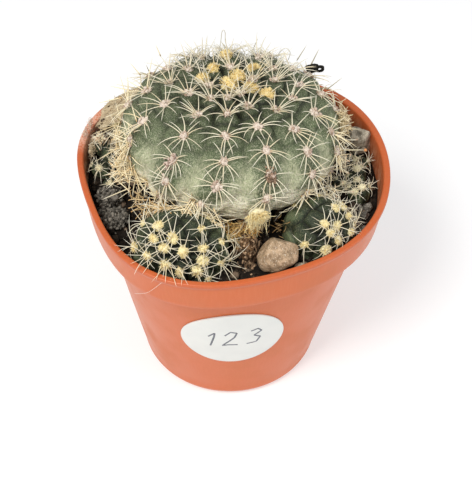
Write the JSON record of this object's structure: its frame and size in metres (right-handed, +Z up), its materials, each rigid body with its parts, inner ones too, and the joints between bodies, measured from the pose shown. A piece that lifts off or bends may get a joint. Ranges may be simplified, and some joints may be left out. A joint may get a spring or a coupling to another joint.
{
  "type": "potted gymnocalycium bruchii",
  "caption": "Low clustering cactus with spiny ribbed stems and offsets, in a soft round nursery pot with soil, stones and a label.",
  "frame": {"origin": "centre of the pot's foot, on the surface that the pot stands on", "axes": "+Z up; -Y is the front of the pot, with the label; +X is to the right of it"},
  "size_m": [0.0657, 0.0638, 0.0739],
  "materials": {
    "pot": "satin",
    "soil": "matte",
    "label": "satin",
    "stem_main": "matte",
    "offset_dark": "matte",
    "offset_small": "matte",
    "stone_brown": "matte",
    "stone_grey": "matte",
    "stone_dark": "matte",
    "bark": "matte"
  },
  "bodies": {
    "root": {"pot": "pot", "soil": "soil", "label": "label", "stem_main": "stem_main", "offset_front_left": "offset_dark", "offset_front_right": "offset_dark", "offset_right_1": "offset_small", "offset_right_2": "offset_small", "offset_right_3": "offset_small", "offset_right_4": "offset_small", "offset_left_1": "offset_small", "offset_left_2": "offset_small", "offset_left_3": "offset_small", "pebble_brown": "stone_brown", "stone_grey_front": "stone_grey", "stone_grey_right": "stone_grey", "stone_small_1": "stone_grey", "stone_small_2": "stone_grey", "lump_dark_1": "stone_dark", "lump_dark_2": "stone_dark", "bark": "bark"}
  },
  "joints": []
}
